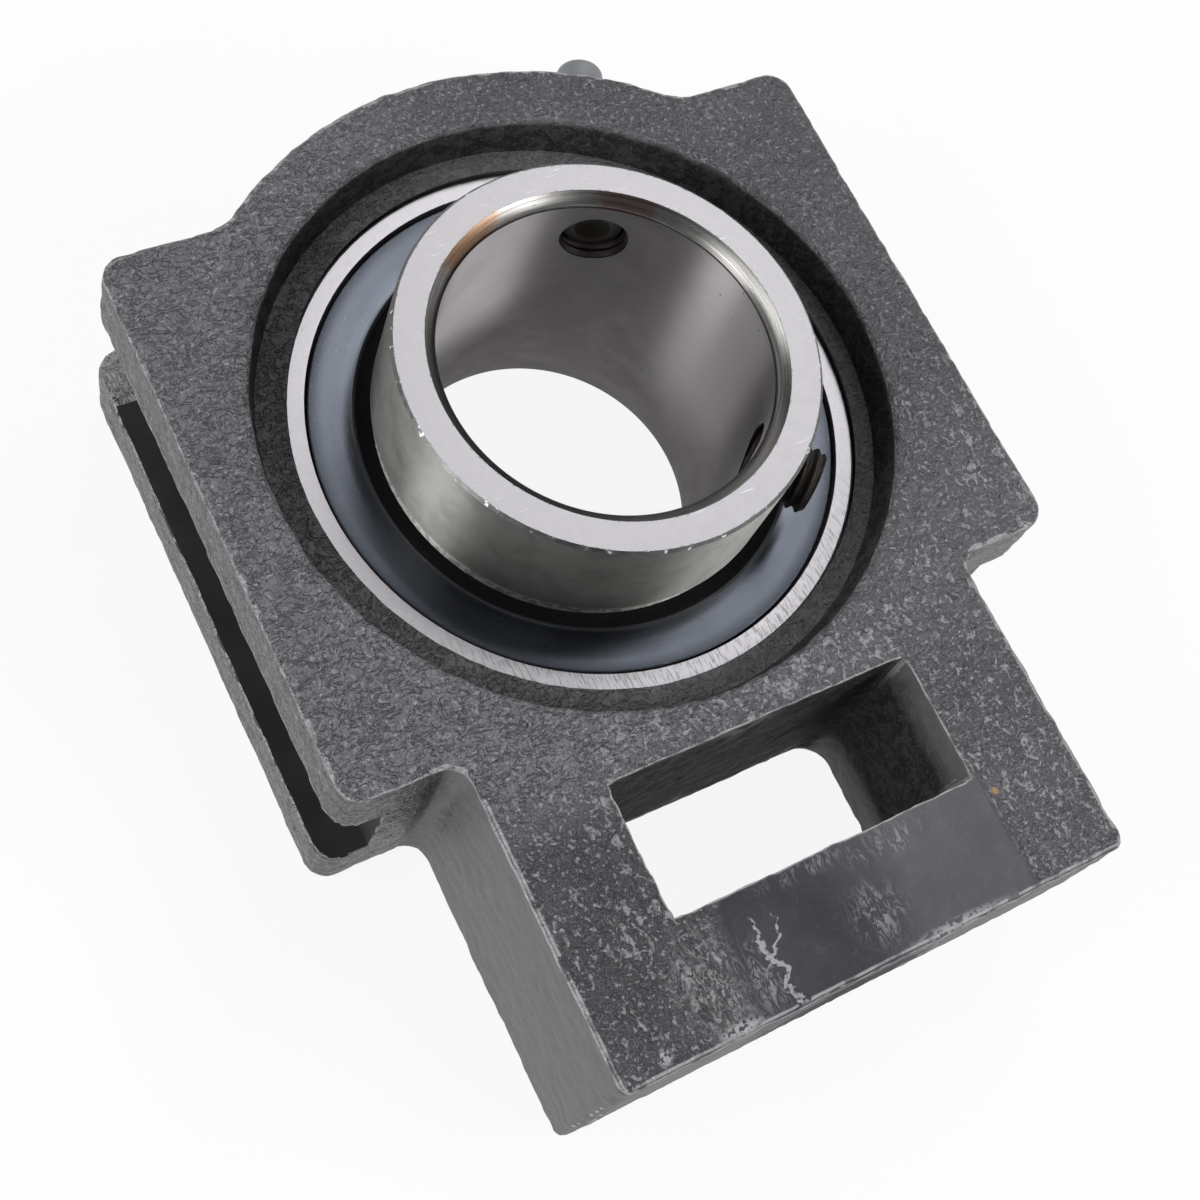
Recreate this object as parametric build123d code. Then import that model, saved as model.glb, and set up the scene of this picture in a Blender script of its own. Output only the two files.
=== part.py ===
from build123d import *
import math
import os

# Take-up bearing unit: a cast housing that slides between two guide rails and carries a
# self-aligning insert bearing. Millimetres. The origin is the centre of the ball row,
# +Z runs along the shaft towards the long, set-screw side of the inner ring,
# +Y points at the rounded head, and the tail with the adjusting-screw hole lies at -Y.

# Insert bearing; its inch bore leaves a wall of its own to the metric ring
shaft_diameter = 49.2125
inner_ring_wall = 6.59375
inner_ring_front = 32.6
inner_ring_back = 19.0
inner_shoulder = 2.75
inner_ring_chamfer = 0.45
bore_chamfer_radial = 1.8
bore_chamfer_axial = 1.4
ball_diameter = 12.7
ball_count = 10
ball_play = 0.2
race_ease = 0.254
outer_shoulder = 2.65
outer_ring_wall = 3.45
ring_edge = 0.35
oil_hole_diameter = 2.0

# Pressed cage in two halves, riveted between the balls
cage_sheet = 0.9
cage_ball_clearance = 0.3
cage_side_gap = 1.5
rivet_diameter = 2.2
rivet_head_diameter = 4.0
rivet_head_height = 0.8
rivet_head_bevel = 0.3

# Rubber-lipped seals in the outer ring, outwards from the cage
seal_cage_gap = 0.65
seal_thickness = 1.4
seal_core_thickness = 0.7
seal_seat_depth = 1.7
seal_rim_width = 1.0
seal_lip_width = 0.8
seal_slope = 0.5
seal_lip_bevel = 0.4
lip_clearance = 0.1

# Pressed steel flingers on the inner ring, outside the seals
flinger_seal_gap = 1.0
flinger_thickness = 0.8
flinger_rim_gap = 1.0
flinger_recess = 0.6
flinger_seat_depth = 0.6
flinger_lip_gap = 0.2
flinger_seat_runout = 1.8
flinger_bend = 1.3
flinger_edge = 0.35

# Set screws of the inner ring, backed out from the shaft
screw_diameter = 9.8
screw_length = 8.5
screw_clearance = 0.05
screw_from_face = 9.7
screw_angles = (64.0, -48.0)
screw_backed_out = 1.7
screw_socket_size = 5.0
screw_socket_depth = 4.2
screw_cup_diameter = 5.4
screw_cup_depth = 0.9
screw_chamfer = 0.6

# Spherical seat in the housing, with an as-cast recess in front of and behind it
seat_clearance = 0.25
lip_overhang = 1.2
filling_slot_clearance = 0.4
recess_step = 1.65
recess_flare = 1.3
recess_depth = 5.9
recess_shift_x = -0.8
recess_rim_fillet = 1.0
grease_groove_margin = 0.5
grease_groove_depth = 1.2

# Housing casting, sizes at the parting line half way through its thickness
head_wall = 12.95
head_blend = 7.0
flange_length = 87.0
flange_corner = 4.0
draft_angle = 1.2
cast_edge = 0.8

# Machined grooves in both sides, which ride on the guide rails
groove_width = 16.0
groove_depth = 7.5
groove_wall = 5.75
groove_edge = 0.4

# Tail: window for the nut of the adjusting screw, and the screw's hole through the end wall
window_web = 8.55
window_width = 48.6
window_length = 19.2
window_front_corner = 1.8
window_back_corner = 5.0
window_draft = 1.0
end_wall = 18.1
side_wall = 17.4
tail_root_fillet = 3.0
tail_corner = 2.0
adjust_hole_diameter = 29.0
adjust_hole_chamfer = 1.0

# Grease nipple in the head, under a push-on cap
nipple_angle = 61.3
nipple_level = 3.4
nipple_spot_face = 0.6
nipple_spot_diameter = 12.0
nipple_thread_diameter = 6.0
nipple_thread_length = 5.5
nipple_thread_bevel = 0.5
nipple_hole_runout = 1.5
nipple_hex_size = 8.0
nipple_hex_height = 4.0
nipple_neck_diameter = 4.8
nipple_neck_height = 4.0
nipple_head_diameter = 6.5
nipple_head_slope = 1.0
nipple_head_height = 1.0
nipple_tip_diameter = 3.6
nipple_tip_slope = 1.4
nipple_bore_diameter = 2.6
nipple_mouth_diameter = 1.6
nipple_mouth_length = 0.9
check_ball_play = 0.1
check_spring_length = 7.0
check_spring_wire = 0.36
check_spring_pitch = 1.1
check_spring_clearance = 0.1
cap_wall = 0.55
cap_clearance = 0.1
cap_gap = 0.3
cap_roof = 1.7
cap_round = 1.6

shaft_radius = shaft_diameter / 2
inner_radius = shaft_radius + inner_ring_wall
ball_radius = ball_diameter / 2
race_radius = ball_radius + race_ease
pitch_radius = inner_radius - inner_shoulder + ball_play + ball_radius
inner_race_centre = pitch_radius - ball_radius - ball_play + race_radius
outer_race_centre = pitch_radius + ball_radius + ball_play - race_radius
outer_land_radius = pitch_radius + ball_radius + ball_play - outer_shoulder
ring_radius = pitch_radius + ball_radius + ball_play + outer_ring_wall
seal_seat_radius = outer_land_radius + seal_seat_depth
flinger_radius = seal_seat_radius - flinger_rim_gap
flinger_seat_radius = inner_radius - flinger_seat_depth

cage_cup_radius = ball_radius + cage_ball_clearance + cage_sheet
seal_inner_face = cage_cup_radius + seal_cage_gap
seal_outer_face = seal_inner_face + seal_thickness
flinger_seat_start = seal_outer_face + flinger_lip_gap
flinger_face = seal_outer_face + flinger_seal_gap + flinger_thickness
flinger_seat_end = flinger_face + flinger_seat_runout
ring_half_width = flinger_face + flinger_recess
outer_race_edge = math.sqrt(race_radius**2 - (outer_land_radius - outer_race_centre) ** 2)
oil_hole_height = (outer_race_edge + seal_inner_face) / 2
screw_height = inner_ring_front - screw_from_face
screw_tip_radius = shaft_radius + screw_backed_out

seat_radius = ring_radius + seat_clearance
lip_half_width = ring_half_width + lip_overhang
half = lip_half_width + recess_depth
recess_floor_radius = seat_radius + recess_step
recess_rim_radius = recess_floor_radius + recess_flare
head_radius = seat_radius + head_wall
flange_end = flange_length / 2
groove_floor = seat_radius + groove_wall
flange_side = groove_floor + groove_depth
window_far = seat_radius + window_web
window_near = window_far + window_length
tail_end = window_near + end_wall
tail_side = window_width / 2 + side_wall

nipple_seat_radius = head_radius - nipple_spot_face
nipple_head_start = nipple_hex_height + nipple_neck_height
nipple_tip_start = nipple_head_start + nipple_head_slope + nipple_head_height
nipple_height = nipple_tip_start + nipple_tip_slope
check_ball_diameter = nipple_bore_diameter - 2 * check_ball_play
cap_length = nipple_height - nipple_hex_height + cap_roof
cap_top = nipple_seat_radius + nipple_height + cap_gap + cap_roof

# How far a cutting shape runs past what it cuts, and how near a picked edge or corner must lie
overrun = 1.0
pick_edge = 0.01
pick_corner = 0.5
low = (Align.CENTER, Align.CENTER, Align.MIN)
high = (Align.CENTER, Align.CENTER, Align.MAX)


def turned(points):
    """A ring turned about the shaft axis from (radius, height) points."""
    profile = make_face(Polyline([(r, 0, z) for r, z in points], close=True))
    return revolve(profile, Axis.Z)


def corner_points(shape, x, y):
    """The outline's vertices near (x, y) and its mirror image."""
    return [v for v in shape.vertices() if max(abs(abs(v.X) - x), abs(v.Y - y)) < pick_corner]


def circles(shape, radius):
    """The shape's round edges of one radius."""
    return [e for e in shape.edges().filter_by(GeomType.CIRCLE) if abs(e.radius - radius) < pick_edge]


def top_face(shape):
    return shape.faces().sort_by(Axis.Z)[-1]


def radial(angle, height, shape):
    """Turns a shape built up +Z so that it points out from the shaft axis."""
    return Pos(0, 0, height) * Rot(0, 0, angle) * Rot(0, 90, 0) * shape


def casting_outline():
    """Round head, two guide flanges and the tail, seen along the shaft."""
    flange = Rectangle(2 * flange_side, flange_length)
    tail = Pos(0, -tail_end / 2) * Rectangle(2 * tail_side, tail_end)
    head = Circle(head_radius) & Pos(0, head_radius / 2) * Rectangle(2 * flange_side, head_radius)
    outline = head + flange + tail
    blend_x = math.sqrt(head_radius**2 - flange_end**2)
    outline = fillet(corner_points(outline, blend_x, flange_end), head_blend)
    outline = fillet(corner_points(outline, flange_side, flange_end), flange_corner)
    outline = fillet(corner_points(outline, flange_side, -flange_end), flange_corner)
    outline = fillet(corner_points(outline, tail_side, -flange_end), tail_root_fillet)
    return fillet(corner_points(outline, tail_side, -tail_end), tail_corner)


def casting_blank():
    """The solid casting, drafted both ways from its parting line, with rounded face edges."""
    outline = casting_outline()
    front = extrude(outline, half, taper=draft_angle)
    front = fillet(top_face(front).edges(), cast_edge)
    return front + mirror(front, Plane.XY)


def nut_window():
    """Window through the tail, narrowest at the parting line and rounder in its back corners."""
    reach = half + overrun
    spread = 2 * reach * math.tan(math.radians(window_draft))
    wide = window_width + spread
    long = window_length + spread
    front = Pos(0, 0, reach) * RectangleRounded(wide, long, window_front_corner)
    middle_corner = (window_front_corner + window_back_corner) / 2
    middle = RectangleRounded(window_width, window_length, middle_corner)
    back = Pos(0, 0, -reach) * RectangleRounded(wide, long, window_back_corner)
    return Pos(0, -(window_near + window_far) / 2, 0) * loft([front, middle, back], ruled=True)


def adjusting_hole():
    """Hole for the adjusting screw, along Y through the end wall, chamfered at the mouth."""
    radius = adjust_hole_diameter / 2
    bore = Pos(0, 0, -overrun) * Cylinder(radius, end_wall + 2 * overrun, align=low)
    mouth = Cone(radius + adjust_hole_chamfer, radius, adjust_hole_chamfer, align=low)
    return Pos(0, -tail_end, 0) * Rot(-90, 0, 0) * (bore + mouth)


def guide_groove():
    """The machined groove on the +X side, with its mouth edges broken."""
    wall = groove_width / 2
    profile = Plane.XZ * Polygon(
        (groove_floor, -wall),
        (flange_side - groove_edge, -wall),
        (flange_side + overrun, -wall - groove_edge - overrun),
        (flange_side + overrun, wall + groove_edge + overrun),
        (flange_side - groove_edge, wall),
        (groove_floor, wall),
        align=None,
    )
    return extrude(profile, flange_length, both=True)


def bearing_seat():
    """Spherical seat between its lips, with the grease groove from the nipple to the oil holes."""
    seat = Sphere(seat_radius) & Box(2 * seat_radius, 2 * seat_radius, 2 * lip_half_width)
    bottom = nipple_level - nipple_bore_diameter / 2 - grease_groove_margin
    top = oil_hole_height + oil_hole_diameter / 2 + grease_groove_margin
    groove = Cylinder(seat_radius + grease_groove_depth, top - bottom, align=low)
    return seat + Pos(0, 0, bottom) * groove


def face_recess():
    """As-cast recess between the front face and the lip of the seat, a little off centre."""
    taper = Cone(recess_floor_radius, recess_rim_radius, recess_depth, align=low)
    return Pos(recess_shift_x, 0, lip_half_width) * taper


def filling_slots():
    """Slots through the back lip, where the outer ring goes in edgeways and is turned level."""
    width = 2 * ring_half_width + filling_slot_clearance
    reach = Cylinder(seat_radius, half, align=high)
    return reach & Box(2 * seat_radius, width, 2 * half)


def along_nipple(shape):
    """Turns a shape built up +Z so that it points out of the head along the nipple."""
    return radial(nipple_angle, nipple_level, shape)


def nipple_hole():
    """Spot face, tapped hole and grease way from the head to the seat."""
    spot = Cylinder(nipple_spot_diameter / 2, nipple_hex_height, align=low)
    thread = Cylinder(nipple_thread_diameter / 2, nipple_thread_length + nipple_hole_runout, align=high)
    way = Cylinder(nipple_bore_diameter / 2, nipple_seat_radius - seat_radius + overrun, align=high)
    return along_nipple(Pos(0, 0, nipple_seat_radius) * (spot + thread + way))


def make_housing():
    body = casting_blank()
    recess = face_recess()
    body -= recess
    body -= mirror(recess, Plane.XY)
    body = fillet(circles(body, recess_rim_radius), recess_rim_fillet)
    body -= bearing_seat()
    body -= filling_slots()
    body -= nut_window()
    body -= adjusting_hole()
    body -= guide_groove()
    body -= mirror(guide_groove(), Plane.YZ)
    body -= nipple_hole()
    return body


def make_outer_ring():
    """Outer ring: ball outside, so that it tilts in its seat, with race, seal seats and oil holes."""
    face_radius = math.sqrt(ring_radius**2 - ring_half_width**2)
    ring = Sphere(ring_radius) & Box(2 * ring_radius, 2 * ring_radius, 2 * ring_half_width)
    ring = chamfer(circles(ring, face_radius), ring_edge)
    ring -= Cylinder(outer_land_radius, 2 * ring_half_width)
    seal_seat = Cylinder(seal_seat_radius, ring_half_width - seal_inner_face, align=low)
    ring -= Pos(0, 0, seal_inner_face) * seal_seat
    ring -= Pos(0, 0, -ring_half_width) * seal_seat
    ring -= Torus(outer_race_centre, race_radius)
    hole = Cylinder(oil_hole_diameter / 2, 2 * ring_radius)
    return ring - radial(nipple_angle, oil_hole_height, hole)


def make_inner_ring():
    """Inner ring, long on the set-screw side, with its race and the flinger seats."""
    r = inner_radius
    s = flinger_seat_radius
    c = inner_ring_chamfer
    ring = turned([
        (shaft_radius, -inner_ring_back + bore_chamfer_axial),
        (shaft_radius + bore_chamfer_radial, -inner_ring_back),
        (r - c, -inner_ring_back),
        (r, -inner_ring_back + c),
        (r, -flinger_seat_end),
        (s, -flinger_seat_end),
        (s, -flinger_seat_start),
        (r, -flinger_seat_start),
        (r, flinger_seat_start),
        (s, flinger_seat_start),
        (s, flinger_seat_end),
        (r, flinger_seat_end),
        (r, inner_ring_front - c),
        (r - c, inner_ring_front),
        (shaft_radius + bore_chamfer_radial, inner_ring_front),
        (shaft_radius, inner_ring_front - bore_chamfer_axial),
    ])
    ring -= Torus(inner_race_centre, race_radius)
    hole = Cylinder(screw_diameter / 2 + screw_clearance, 2 * inner_radius, align=low)
    for angle in screw_angles:
        ring -= radial(angle, screw_height, hole)
    return ring


def make_seal():
    """Rubber-lipped seal, full thickness at the rim and the lip and thinner between them."""
    lip = inner_radius + lip_clearance
    lip_end = lip + seal_lip_width
    rim = seal_seat_radius
    rim_start = rim - seal_rim_width
    lower = seal_inner_face + (seal_thickness - seal_core_thickness) / 2
    upper = lower + seal_core_thickness
    return turned([
        (lip, seal_inner_face),
        (lip_end, seal_inner_face),
        (lip_end + seal_slope, lower),
        (rim_start - seal_slope, lower),
        (rim_start, seal_inner_face),
        (rim, seal_inner_face),
        (rim, seal_outer_face),
        (rim_start, seal_outer_face),
        (rim_start - seal_slope, upper),
        (lip_end + seal_slope, upper),
        (lip_end, seal_outer_face),
        (lip, seal_outer_face - seal_lip_bevel),
    ])


def make_flinger():
    """Pressed steel flinger: flat disc, bent down into the sleeve that grips the inner ring."""
    s = flinger_seat_radius
    rim = flinger_radius
    top = flinger_face
    under = top - flinger_thickness
    disc = turned([
        (s, flinger_seat_start),
        (s + flinger_thickness, flinger_seat_start),
        (s + flinger_thickness, under),
        (rim, under),
        (rim, top),
        (s, top),
    ])
    bend = top_face(disc).edges().sort_by(SortBy.RADIUS)[0]
    disc = fillet(bend, flinger_bend)
    edge = top_face(disc).edges().sort_by(SortBy.RADIUS)[-1]
    return fillet(edge, flinger_edge)


def ring_place(index):
    """Place number index on the ball circle; a half number lies between two balls."""
    return Rot(0, 0, 360 / ball_count * index) * Pos(pitch_radius, 0, 0)


def make_ball(index):
    return ring_place(index) * Sphere(ball_radius)


def make_cage_half():
    """Front half of the cage: flat lands joined by cups pressed round the balls."""
    outside = outer_land_radius - cage_side_gap
    inside = Cylinder(inner_radius + cage_side_gap, 2 * cage_cup_radius)
    land = Cylinder(outside, cage_sheet, align=low) - inside
    band = Cylinder(outside, cage_cup_radius, align=low) - inside
    for index in range(ball_count):
        land += (ring_place(index) * Sphere(cage_cup_radius)) & band
    for index in range(ball_count):
        land -= ring_place(index) * Sphere(cage_cup_radius - cage_sheet)
        land -= ring_place(index + 0.5) * Cylinder(rivet_diameter / 2, 4 * cage_sheet)
    return land


def make_rivets():
    """Rivets of the cage, half way between the balls, with a formed head on each side."""
    head = Cylinder(rivet_head_diameter / 2, rivet_head_height, align=low)
    head = Pos(0, 0, cage_sheet) * chamfer(top_face(head).edges(), rivet_head_bevel)
    rivet = Cylinder(rivet_diameter / 2, 2 * cage_sheet) + head + mirror(head, Plane.XY)
    return Compound(children=[ring_place(index + 0.5) * rivet for index in range(ball_count)])


def make_set_screw(angle):
    """Cup-point set screw with a hexagon socket, backed out clear of the bore."""
    screw = Cylinder(screw_diameter / 2, screw_length, align=low)
    screw = chamfer(screw.edges().filter_by(GeomType.CIRCLE), screw_chamfer)
    socket = extrude(RegularPolygon(screw_socket_size / 2, 6, major_radius=False), screw_socket_depth)
    screw -= Pos(0, 0, screw_length - screw_socket_depth) * socket
    screw -= Cone(screw_cup_diameter / 2, 0, screw_cup_depth, align=low)
    return radial(angle, screw_height, Pos(0, 0, screw_tip_radius) * screw)


def make_nipple():
    """Straight grease nipple: thread, hexagon, neck and button head, bored for its check ball."""
    r = nipple_head_diameter / 2
    hexagon = extrude(RegularPolygon(nipple_hex_size / 2, 6, major_radius=False), nipple_hex_height)
    stem = turned([
        (0, -nipple_thread_length),
        (nipple_thread_diameter / 2 - nipple_thread_bevel, -nipple_thread_length),
        (nipple_thread_diameter / 2, -nipple_thread_length + nipple_thread_bevel),
        (nipple_thread_diameter / 2, 0),
        (nipple_neck_diameter / 2, 0),
        (nipple_neck_diameter / 2, nipple_head_start),
        (r, nipple_head_start + nipple_head_slope),
        (r, nipple_tip_start),
        (nipple_tip_diameter / 2, nipple_height),
        (0, nipple_height),
    ])
    bore_length = nipple_thread_length + nipple_height - nipple_mouth_length
    bore = Cylinder(nipple_bore_diameter / 2, bore_length, align=low)
    mouth = Cylinder(nipple_mouth_diameter / 2, nipple_height, align=low)
    nipple = hexagon + stem - Pos(0, 0, -nipple_thread_length) * bore - mouth
    return along_nipple(Pos(0, 0, nipple_seat_radius) * nipple)


def make_check_ball():
    centre = nipple_seat_radius + nipple_height - nipple_mouth_length - check_ball_diameter / 2
    return along_nipple(Pos(0, 0, centre) * Sphere(check_ball_diameter / 2))


def make_check_spring():
    """Coil spring that holds the check ball shut."""
    top = nipple_seat_radius + nipple_height - nipple_mouth_length - check_ball_diameter
    radius = (nipple_bore_diameter - check_spring_wire) / 2 - check_spring_clearance
    coil = Helix(check_spring_pitch, check_spring_length - check_spring_wire, radius)
    section = Plane(origin=coil @ 0, z_dir=coil % 0) * Circle(check_spring_wire / 2)
    spring = sweep(section, path=coil)
    return along_nipple(Pos(0, 0, top - check_spring_length + check_spring_wire / 2) * spring)


def make_cap():
    """Push-on cap over the nipple's head."""
    hollow_radius = nipple_head_diameter / 2 + cap_clearance
    cap = Cylinder(hollow_radius + cap_wall, cap_length, align=high)
    cap = fillet(top_face(cap).edges(), cap_round)
    hollow = Cylinder(hollow_radius, cap_length, align=high)
    return along_nipple(Pos(0, 0, cap_top) * (cap - Pos(0, 0, -cap_roof) * hollow))


def write(name, shape):
    export_step(shape, "parts/" + name + ".step")


os.makedirs("parts", exist_ok=True)
write("housing", make_housing())
write("outer_ring", make_outer_ring())
write("inner_ring", make_inner_ring())
seal = make_seal()
write("seal_front", seal)
write("seal_back", mirror(seal, Plane.XY))
flinger = make_flinger()
write("flinger_front", flinger)
write("flinger_back", mirror(flinger, Plane.XY))
cage = make_cage_half()
write("cage_front", cage)
write("cage_back", mirror(cage, Plane.XY))
write("cage_rivets", make_rivets())
for index in range(ball_count):
    write(f"ball_{index + 1:02d}", make_ball(index))
for index, angle in enumerate(screw_angles):
    write(f"set_screw_{index + 1}", make_set_screw(angle))
write("nipple_body", make_nipple())
write("nipple_ball", make_check_ball())
write("nipple_spring", make_check_spring())
write("nipple_cap", make_cap())
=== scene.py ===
import bpy
import bmesh
import math
from mathutils import Matrix, Vector


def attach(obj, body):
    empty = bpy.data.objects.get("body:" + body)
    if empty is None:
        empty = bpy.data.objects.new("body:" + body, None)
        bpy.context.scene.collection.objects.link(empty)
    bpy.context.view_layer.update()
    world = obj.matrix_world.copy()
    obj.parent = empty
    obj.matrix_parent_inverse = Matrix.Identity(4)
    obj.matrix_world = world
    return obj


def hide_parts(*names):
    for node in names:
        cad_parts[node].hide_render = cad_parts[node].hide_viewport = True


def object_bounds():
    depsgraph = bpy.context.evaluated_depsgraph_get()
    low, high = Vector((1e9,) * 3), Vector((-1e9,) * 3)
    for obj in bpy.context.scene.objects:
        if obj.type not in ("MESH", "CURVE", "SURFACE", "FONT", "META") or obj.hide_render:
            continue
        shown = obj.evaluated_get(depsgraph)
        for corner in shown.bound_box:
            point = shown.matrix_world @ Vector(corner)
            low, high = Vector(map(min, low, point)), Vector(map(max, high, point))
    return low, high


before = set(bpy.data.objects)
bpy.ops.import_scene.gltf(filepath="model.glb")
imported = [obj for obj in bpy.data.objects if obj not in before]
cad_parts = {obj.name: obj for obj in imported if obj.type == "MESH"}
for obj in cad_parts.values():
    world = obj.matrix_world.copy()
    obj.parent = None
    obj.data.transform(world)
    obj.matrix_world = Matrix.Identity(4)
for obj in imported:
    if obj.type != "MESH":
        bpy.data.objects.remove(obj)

cadLow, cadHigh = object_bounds()
mm = 0.001


def newObject(name, data):
    piece = bpy.data.objects.new(name, data)
    bpy.context.scene.collection.objects.link(piece)
    return piece


def smoothByAngle(mesh, degrees):
    mesh.polygons.foreach_set("use_smooth", [True] * len(mesh.polygons))
    mesh.set_sharp_from_angle(angle=math.radians(degrees))


def keepResult(piece):
    # what the modifiers make becomes the piece's own plain mesh
    bpy.context.view_layer.update()
    seen = piece.evaluated_get(bpy.context.evaluated_depsgraph_get())
    mesh = bpy.data.meshes.new_from_object(seen)
    piece.modifiers.clear()
    piece.data = mesh


class Nodes:
    # one node tree, and short ways to add to it; values are numbers or sockets
    def __init__(self, tree):
        self.tree = tree
        self.shader = tree.nodes.get("Principled BSDF")

    def add(self, kind, values=None, **settings):
        node = self.tree.nodes.new(kind)
        for key, value in settings.items():
            setattr(node, key, value)
        for key, value in (values or {}).items():
            if isinstance(value, bpy.types.NodeSocket):
                self.tree.links.new(value, node.inputs[key])
            else:
                node.inputs[key].default_value = value
        return node

    def link(self, value, node, socket):
        self.tree.links.new(value, node.inputs[socket])

    def calc(self, operation, *values, clamp=False):
        node = self.add("ShaderNodeMath", dict(enumerate(values)), operation=operation)
        node.use_clamp = clamp
        return node.outputs[0]

    def chain(self, operation, values):
        total = values[0]
        for value in values[1:]:
            total = self.calc(operation, total, value)
        return total

    def times(self, *values):
        return self.chain("MULTIPLY", values)

    def plus(self, *values):
        return self.chain("ADD", values)

    def larger(self, *values):
        return self.chain("MAXIMUM", values)

    def minus(self, first, second):
        return self.calc("SUBTRACT", first, second)

    def divided(self, first, second):
        return self.calc("DIVIDE", first, second)

    def absolute(self, value):
        return self.calc("ABSOLUTE", value)

    def split(self, vector):
        return self.add("ShaderNodeSeparateXYZ", {0: vector}).outputs

    def joined(self, *values):
        return self.add("ShaderNodeCombineXYZ", dict(enumerate(values))).outputs[0]

    def away(self, where, point):
        return self.add("ShaderNodeVectorMath", {0: where, 1: point}, operation="DISTANCE").outputs["Value"]

    def noise(self, where, size, detail=2.0, rough=0.5, distortion=0.0):
        # size is the spacing of the pattern
        values = {"Vector": where, "Scale": 1 / size, "Detail": detail, "Roughness": rough,
                  "Distortion": distortion}
        return self.add("ShaderNodeTexNoise", values, noise_type="FBM").outputs["Fac"]

    def between(self, value, start, end, low=0.0, high=1.0):
        # goes smoothly from low at the start to high at the end
        values = {"Value": value, "From Min": start, "From Max": end, "To Min": low, "To Max": high}
        return self.add("ShaderNodeMapRange", values, interpolation_type="SMOOTHSTEP").outputs[0]

    def blendColour(self, share, first, second):
        first, second = [tone + (1,) if isinstance(tone, tuple) else tone for tone in (first, second)]
        return self.add("ShaderNodeMix", {0: share, 6: first, 7: second}, data_type="RGBA").outputs[2]

    def blendValue(self, share, first, second):
        return self.add("ShaderNodeMix", {0: share, 2: first, 3: second}, data_type="FLOAT").outputs[0]

    def stretched(self, inMm, scale, turn=0.0):
        values = {"Vector": inMm, "Scale": scale, "Rotation": (0, 0, turn)}
        return self.add("ShaderNodeMapping", values).outputs[0]

    def shade(self, colour, roughness, normal):
        for value, socket in ((colour, "Base Color"), (roughness, "Roughness"), (normal, "Normal")):
            self.link(value, self.shader, socket)

    def bump(self, height, distance, under=None):
        values = {"Height": height, "Distance": distance * mm}
        if under:
            values["Normal"] = under
        return self.add("ShaderNodeBump", values).outputs[0]


def newTree(name, lengths, counts=()):
    # a Geometry Nodes tree with named inputs: lengths and other decimals, then counts, then the finish
    tree = bpy.data.node_groups.new(name, "GeometryNodeTree")
    tree.interface.new_socket("Geometry", in_out="OUTPUT", socket_type="NodeSocketGeometry")
    inputs = [("Geometry", "Geometry"), *[(label, "Float") for label in lengths],
              *[(label, "Int") for label in counts], ("Finish", "Material")]
    for label, kind in inputs:
        tree.interface.new_socket(label, in_out="INPUT", socket_type="NodeSocket" + kind)
    n = Nodes(tree)
    return n, n.add("NodeGroupInput").outputs


def endTree(n, geometry, finish, where=True):
    whole = n.add("GeometryNodeRealizeInstances", {"Geometry": geometry}).outputs[0]
    painted = n.add("GeometryNodeSetMaterial", {"Geometry": whole, "Selection": where, "Material": finish})
    n.add("NodeGroupOutput", {0: painted.outputs[0]})
    return n.tree


def useTree(piece, tree, values):
    modifier = piece.modifiers.new(tree.name, "NODES")
    modifier.node_group = tree
    for socket in tree.interface.items_tree:
        if socket.in_out == "INPUT" and socket.name in values:
            modifier[socket.identifier] = values[socket.name]
    keepResult(piece)


def closedPiece(name, work, finishes):
    # a bmesh becomes a piece, its normals outward
    bmesh.ops.recalc_face_normals(work, faces=work.faces)
    mesh = bpy.data.meshes.new(name)
    work.to_mesh(mesh)
    work.free()
    for finish in finishes:
        mesh.materials.append(finish)
    return newObject(name, mesh)


def arc(centreRadius, centreHeight, radius, startAngle, endAngle, count):
    # points on an arc of a turned profile, angles in degrees from the outward direction
    points = []
    for i in range(count + 1):
        a = math.radians(startAngle + (endAngle - startAngle) * i / count)
        points.append((centreRadius + radius * math.cos(a), centreHeight + radius * math.sin(a)))
    return points


def lathe(name, profile, steps, finishes, ring=True, longest=2.5):
    # turns (radius, height, finish) points in mm about Z; the finish belongs to the stretch that follows
    rows = []
    count = len(profile) if ring else len(profile) - 1
    for i in range(count):
        here, after = profile[i], profile[(i + 1) % len(profile)]
        parts = max(1, math.ceil(math.dist(here[:2], after[:2]) / longest))
        for k in range(parts):
            t = k / parts
            rows.append((here[0] + (after[0] - here[0]) * t, here[1] + (after[1] - here[1]) * t, here[2]))
    if not ring:
        rows.append(profile[-1])
    work = bmesh.new()
    turns = [2 * math.pi * s / steps for s in range(steps)]
    loops = [[work.verts.new((r * math.cos(a) * mm, r * math.sin(a) * mm, height * mm)) for a in turns]
             for r, height, finish in rows]
    for i in range(len(rows) if ring else len(rows) - 1):
        low, high = loops[i], loops[(i + 1) % len(rows)]
        for s in range(steps):
            k = (s + 1) % steps
            face = work.faces.new((low[s], low[k], high[k], high[s]))
            face.material_index = rows[i][2]
    if not ring:
        work.faces.new(loops[0])
        work.faces.new(loops[-1])
    return closedPiece(name, work, finishes)


def loft(name, first, second, finishes=()):
    # a solid between two rings of (x, y, z) points in mm
    work = bmesh.new()
    low, high = [[work.verts.new([c * mm for c in point]) for point in ring] for ring in (first, second)]
    work.faces.new(low)
    work.faces.new(high)
    for i in range(len(low)):
        k = (i + 1) % len(low)
        work.faces.new((low[i], low[k], high[k], high[i]))
    return closedPiece(name, work, finishes)


def prism(name, outline, low, high, place=Matrix.Identity(4), finishes=()):
    # a straight prism over an (x, y) outline in mm, between two heights
    piece = loft(name, [(x, y, low) for x, y in outline], [(x, y, high) for x, y in outline], finishes)
    piece.data.transform(place)
    return piece


def discOutline(radius, steps):
    return arc(0, 0, radius, 0, 360, steps)[:-1]


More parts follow.
